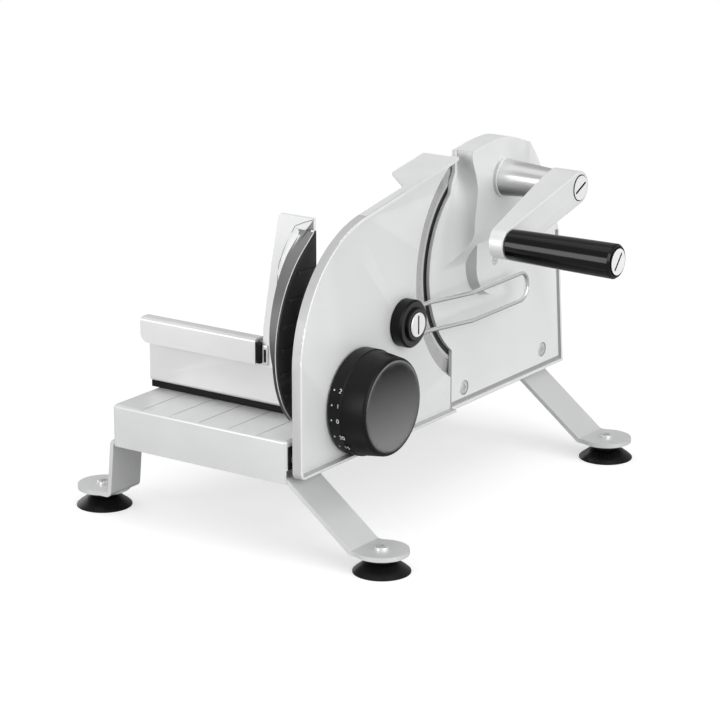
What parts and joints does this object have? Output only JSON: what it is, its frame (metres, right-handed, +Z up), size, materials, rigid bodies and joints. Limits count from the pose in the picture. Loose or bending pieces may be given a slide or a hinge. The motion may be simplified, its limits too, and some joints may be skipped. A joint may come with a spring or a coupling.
{
  "type": "hand-cranked bread slicer",
  "caption": "Tabletop bread slicer worked by hand: a cranked round blade on a metal frame, a dial that sets slice thickness, a sliding loaf carriage with thumb guard, and suction feet.",
  "frame": {"origin": "on the worktop under the middle of the machine's bounding box", "axes": "+X is the crank and slice side, +Y is the way the loaf is pushed to the blade, +Z is up"},
  "size_m": [0.344, 0.3369, 0.2409],
  "materials": {
    "satin_sheet": "satin anodised sheet",
    "silver_paint": "satin silver powder coat",
    "satin_legs": "satin flat bar",
    "blade_steel": "ground stainless steel",
    "zinc_steel": "bright plated steel",
    "bronze_bush": "plain sintered bronze",
    "white_nylon": "natural nylon",
    "black_plastic": "matt moulded",
    "black_gloss": "polished moulded",
    "cup_rubber": "smooth black rubber",
    "guard_plastic": "silver-grey moulded",
    "bow_wire": "polished stainless wire"
  },
  "bodies": {
    "base": {"table": "satin_sheet", "front_leg_strap": "satin_legs", "rear_leg_strap": "satin_legs", "suction_cups": "cup_rubber", "foot_screws": "zinc_steel", "leg_screws": "zinc_steel", "frame": "silver_paint", "gear_cover": "silver_paint", "cover_screws": "zinc_steel", "frame_screws": "zinc_steel", "frame_nuts": "zinc_steel", "crank_bushes": "bronze_bush", "blade_axle": "zinc_steel", "blade_screw": "zinc_steel", "idler_axle": "zinc_steel", "rod_guides": "black_plastic", "cam_post": "zinc_steel"},
    "crank": {"crank_gear": "zinc_steel", "crank_shaft": "zinc_steel", "crank_arm": "silver_paint", "crank_screw": "zinc_steel", "grip_bolt": "zinc_steel"},
    "grip": {"grip": "black_gloss"},
    "idler": {"idler_gear": "white_nylon"},
    "blade": {"blade": "blade_steel", "blade_hub": "zinc_steel", "hub_screws": "zinc_steel"},
    "plate": {"stop_plate": "silver_paint", "plate_rods": "zinc_steel", "dial_spigot": "zinc_steel", "bow_spigot": "zinc_steel", "bow_screw": "zinc_steel"},
    "dial": {"thickness_dial": "black_plastic"},
    "bow": {"slice_bow": "bow_wire", "bow_knob": "black_plastic"},
    "carriage": {"carriage_sheet": "satin_sheet", "carriage_runners": "black_plastic", "thumb_guard": "guard_plastic", "guard_insert": "black_plastic", "guard_screws": "zinc_steel"}
  },
  "joints": [
    {"name": "crank_turn", "type": "hinge", "parent": "base", "child": "crank", "pos_m": [0.06, 0.0645, 0.2126], "axis": [1, 0, 0], "continuous": true},
    {"name": "grip_turn", "type": "hinge", "parent": "crank", "child": "grip", "pos_m": [0.13, -0.0235, 0.1913], "axis": [1, 0, 0], "continuous": true},
    {"name": "idler_turn", "type": "hinge", "parent": "base", "child": "idler", "pos_m": [0.0214, 0.06881, 0.17686], "axis": [1, 0, 0], "continuous": true},
    {"name": "blade_turn", "type": "hinge", "parent": "base", "child": "blade", "pos_m": [0.018, 0.0615, 0.154], "axis": [1, 0, 0], "continuous": true},
    {"name": "plate_slide", "type": "slide", "parent": "base", "child": "plate", "axis": [1, 0, 0], "range_m": [-0.0025, 0.0175]},
    {"name": "dial_turn", "type": "hinge", "parent": "plate", "child": "dial", "pos_m": [0.034, -0.0946, 0.0906], "axis": [1, 0, 0], "range_deg": [-40, 280]},
    {"name": "bow_swing", "type": "hinge", "parent": "plate", "child": "bow", "pos_m": [0.024, -0.0405, 0.1312], "axis": [1, 0, 0], "range_deg": [-25, 12]},
    {"name": "carriage_slide", "type": "slide", "parent": "base", "child": "carriage", "axis": [0, 1, 0], "range_m": [-0.035, 0.15]}
  ],
  "couplings": [
    {"joint": "idler_turn", "follows": "crank_turn", "ratio": -2},
    {"joint": "blade_turn", "follows": "crank_turn", "ratio": 2},
    {"joint": "dial_turn", "follows": "plate_slide", "rad_per_m": 279.25}
  ]
}
